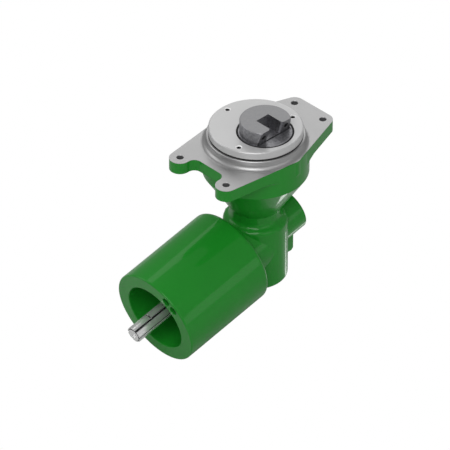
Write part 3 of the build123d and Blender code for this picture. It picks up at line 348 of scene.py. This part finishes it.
def paintShader(tree, place, shader):
    # Gloss enamel on cast iron: even green with a soft orange peel and a clear top coat
    peel = addNode(tree, "ShaderNodeTexNoise", {"Scale": 1 / paint["grain"], "Detail": 2.0},
                   Vector=place.outputs["Object"])
    slow = addNode(tree, "ShaderNodeTexNoise", {"Scale": paint["toneScale"], "Detail": 2.0},
                   Vector=place.outputs["Object"])
    tone = addNode(tree, "ShaderNodeMix", {
        "data_type": "RGBA", 6: srgb(paint["worn"]), 7: srgb(paint["colour"])}, i0=slow.outputs["Fac"])
    lift = addNode(tree, "ShaderNodeBump",
                   {"Strength": paint["grainStrength"], "Distance": paint["grainDepth"]},
                   Height=peel.outputs["Fac"])
    tree.links.new(tone.outputs[2], shader.inputs["Base Color"])
    tree.links.new(lift.outputs[0], shader.inputs["Normal"])
    shader.inputs["Roughness"].default_value = paint["roughness"]
    shader.inputs["Specular IOR Level"].default_value = paint["specular"]
    shader.inputs["Coat Weight"].default_value = paint["coat"]
    shader.inputs["Coat Roughness"].default_value = paint["coatRoughness"]


def paintedCasting():
    material, tree, shader = newMaterial("paintedCasting")
    place = addNode(tree, "ShaderNodeTexCoord")
    paintShader(tree, place, shader)
    return material


def housingMaterial():
    # Green paint, with the flange's top and the collar left as bare turned steel
    material, tree, shader = newMaterial("paintedCastingWithMachinedFace")
    place = addNode(tree, "ShaderNodeTexCoord")
    bare = tree.nodes.new("ShaderNodeBsdfPrincipled")
    paintShader(tree, place, shader)
    machinedShader(tree, place, bare, machined["colour"], machined["roughness"], machined["metallic"])
    split = addNode(tree, "ShaderNodeSeparateXYZ", None, Vector=place.outputs["Object"])
    above = mathNode(tree, "GREATER_THAN", split.outputs["Z"],
                     machined["flangeTop"] - machined["bareBelowTop"])
    dressed = mixShaders(tree, above, shader.outputs[0], bare.outputs[0])
    holes = insideHoles(tree, split, flangeHoles, "X")
    drilled = mattShader(tree, flangeHoles["colour"])
    dressed = mixShaders(tree, holes, dressed, drilled.outputs[0])
    # Painted shade in the joint under the disc's rim
    flat = addNode(tree, "ShaderNodeVectorMath", {"operation": "MULTIPLY", 1: (1, 1, 0)},
                   i0=place.outputs["Object"])
    reach = addNode(tree, "ShaderNodeVectorMath", {"operation": "LENGTH"}, i0=flat.outputs[0])
    inner = mathNode(tree, "LESS_THAN", reach.outputs["Value"], machined["gapRadius"])
    jointShade = mathNode(tree, "MULTIPLY", inner, mathNode(tree, "GREATER_THAN", split.outputs["Z"],
                                                       machined["gapBottom"]))
    paintedShadeBlack = mattShader(tree, discHoles["colour"])
    dressed = mixShaders(tree, jointShade, dressed, paintedShadeBlack.outputs[0])
    tree.links.new(dressed, outputOf(tree))
    return material


def setMaterial(names, material):
    for name in names:
        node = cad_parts[name]
        for slotIndex in range(len(node.material_slots)):
            node.material_slots[slotIndex].material = material


bearings = ("upper_bearing", "neck_bearing", "planet_bearing", "input_bearing", "rear_bearing")
springs = [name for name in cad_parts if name.endswith(("retaining_ring", "gear_ring", "pinion_ring"))]
races = [f"{bearing}_{piece}" for bearing in bearings for piece in ("inner_ring", "outer_ring", "balls")]
setMaterial(["housing"], housingMaterial())
setMaterial(["mounting_tube"], paintedCasting())
setMaterial(["carrier"], machinedSteel())
setMaterial(["planet_shaft"], forgedHead())
setMaterial(["input_shaft"], brightShaft())
setMaterial(["planet_gear", "ring_gear", "bevel_gear", "bevel_pinion"],
            metal("gearSteel", *innerMetals["gear"]))
setMaterial(["carrier_seal", "planet_seal", "input_seal", "cap_sealing_ring"], sealRubber())
setMaterial(["ring_gear_screws", "tube_screws", "oil_plugs"],
            metal("blackenedScrewSteel", *innerMetals["screw"]))
setMaterial(springs + ["tab_washer"], metal("springSteel", *innerMetals["spring"]))
setMaterial(["bevel_gear_key", "planet_gear_key", "bevel_pinion_key"],
            metal("drawnKeySteel", *innerMetals["key"]))
setMaterial(["inner_spacer", "outer_spacer", "lock_nut", "seal_carrier", "rear_cap", "column_cap"],
            metal("machinedSmallSteel", *innerMetals["turned"]))
setMaterial(["plug_washers"], metal("softCopper", *innerMetals["copper"]))
setMaterial(races + ["needle_cup", "needles"], metal("groundBearingSteel", *innerMetals["bearing"]))
setMaterial([f"{bearing}_cage" for bearing in bearings] + ["needle_cage"],
            metal("cageBrass", *innerMetals["brass"]))
print("materials done")


# Camera at the photograph's angle, from the fitted focal length and the pixel of a known point
azimuth = math.radians(camera["azimuth"])
elevation = math.radians(camera["elevation"])
back = Vector((math.sin(azimuth) * math.cos(elevation), -math.cos(azimuth) * math.cos(elevation),
               math.sin(elevation)))
right = Vector((math.cos(azimuth), math.sin(azimuth), 0))
up = back.cross(right)
half = camera["framePixels"] / 2
scale = camera["distance"] / camera["focalPixels"]
place = (Vector(camera["target"]) + camera["distance"] * back
         - (camera["targetPixel"][0] - half) * scale * right
         + (camera["targetPixel"][1] - half) * scale * up)
lens = bpy.data.cameras.new("camera")
lens.sensor_width = camera["sensor"]
lens.lens = camera["focalPixels"] / camera["framePixels"] * lens.sensor_width
lens.clip_end = camera["clipEnd"]
eye = bpy.data.objects.new("camera", lens)
eye.matrix_world = Matrix.Translation(place) @ Matrix((right, up, back)).transposed().to_4x4()
bpy.context.scene.collection.objects.link(eye)
bpy.context.scene.camera = eye


def whiteToCamera(material, colour):
    # The floor is pure white to the eye and pale grey to the light
    tree = material.node_tree
    tree.nodes.clear()
    out = tree.nodes.new("ShaderNodeOutputMaterial")
    path = tree.nodes.new("ShaderNodeLightPath")
    diffuse = addNode(tree, "ShaderNodeBsdfDiffuse", {"Color": srgb(colour)})
    glow = addNode(tree, "ShaderNodeEmission", {"Color": (1, 1, 1, 1), "Strength": 1.0})
    mix = addNode(tree, "ShaderNodeMixShader", None, i0=path.outputs["Is Camera Ray"],
                  i1=diffuse.outputs[0], i2=glow.outputs[0])
    tree.links.new(mix.outputs[0], out.inputs[0])


def addFloor():
    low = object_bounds()[0][2]
    bpy.ops.object.select_all(action="DESELECT")
    bpy.ops.mesh.primitive_plane_add(size=floorSheet["size"], location=(0, 0, low - floorSheet["gap"]))
    floor = bpy.context.object
    floor.name = "floor"
    material = bpy.data.materials.new("palePaper")
    material.use_nodes = True
    whiteToCamera(material, floorSheet["colour"])
    floor.data.materials.append(material)


def addLamp(name, place, turn, width, height, power):
    light = bpy.data.lights.new(name, "AREA")
    light.shape = "RECTANGLE"
    light.size = width
    light.size_y = height
    light.energy = power
    lamp = bpy.data.objects.new(name, light)
    lamp.location = place
    lamp.rotation_euler = turn
    bpy.context.scene.collection.objects.link(lamp)


def addAimedLamp(name, azimuth, elevation, distance, width, height, power):
    turn = math.radians(azimuth)
    lift = math.radians(elevation)
    away = Vector((math.sin(turn) * math.cos(lift), -math.cos(turn) * math.cos(lift), math.sin(lift)))
    addLamp(name, Vector(lampAim) + distance * away, away.to_track_quat("Z", "Y").to_euler(),
            width, height, power)


def setWorld():
    world = bpy.data.worlds.new("studio")
    bpy.context.scene.world = world
    world.use_nodes = True
    tree = world.node_tree
    tree.nodes.clear()
    out = tree.nodes.new("ShaderNodeOutputWorld")
    path = tree.nodes.new("ShaderNodeLightPath")
    seen = addNode(tree, "ShaderNodeBackground", {"Color": (1, 1, 1, 1), "Strength": 1.0})
    fill = addNode(tree, "ShaderNodeBackground", {"Color": (1, 1, 1, 1), "Strength": worldFill})
    mix = addNode(tree, "ShaderNodeMixShader", None, i0=path.outputs["Is Camera Ray"],
                  i1=fill.outputs[0], i2=seen.outputs[0])
    tree.links.new(mix.outputs[0], out.inputs[0])


addFloor()
setWorld()
for lampName, lampValues in lamps.items():
    addAimedLamp(lampName, *lampValues)
# A narrow lamp on the floor behind the part, seen only as a thin line in the gloss of the column's side
addLamp("columnEdge", columnEdge["place"], (math.pi, 0, 0), columnEdge["width"], columnEdge["length"],
        columnEdge["power"])
bpy.context.scene.view_settings.view_transform = "Standard"
print("camera and light done")
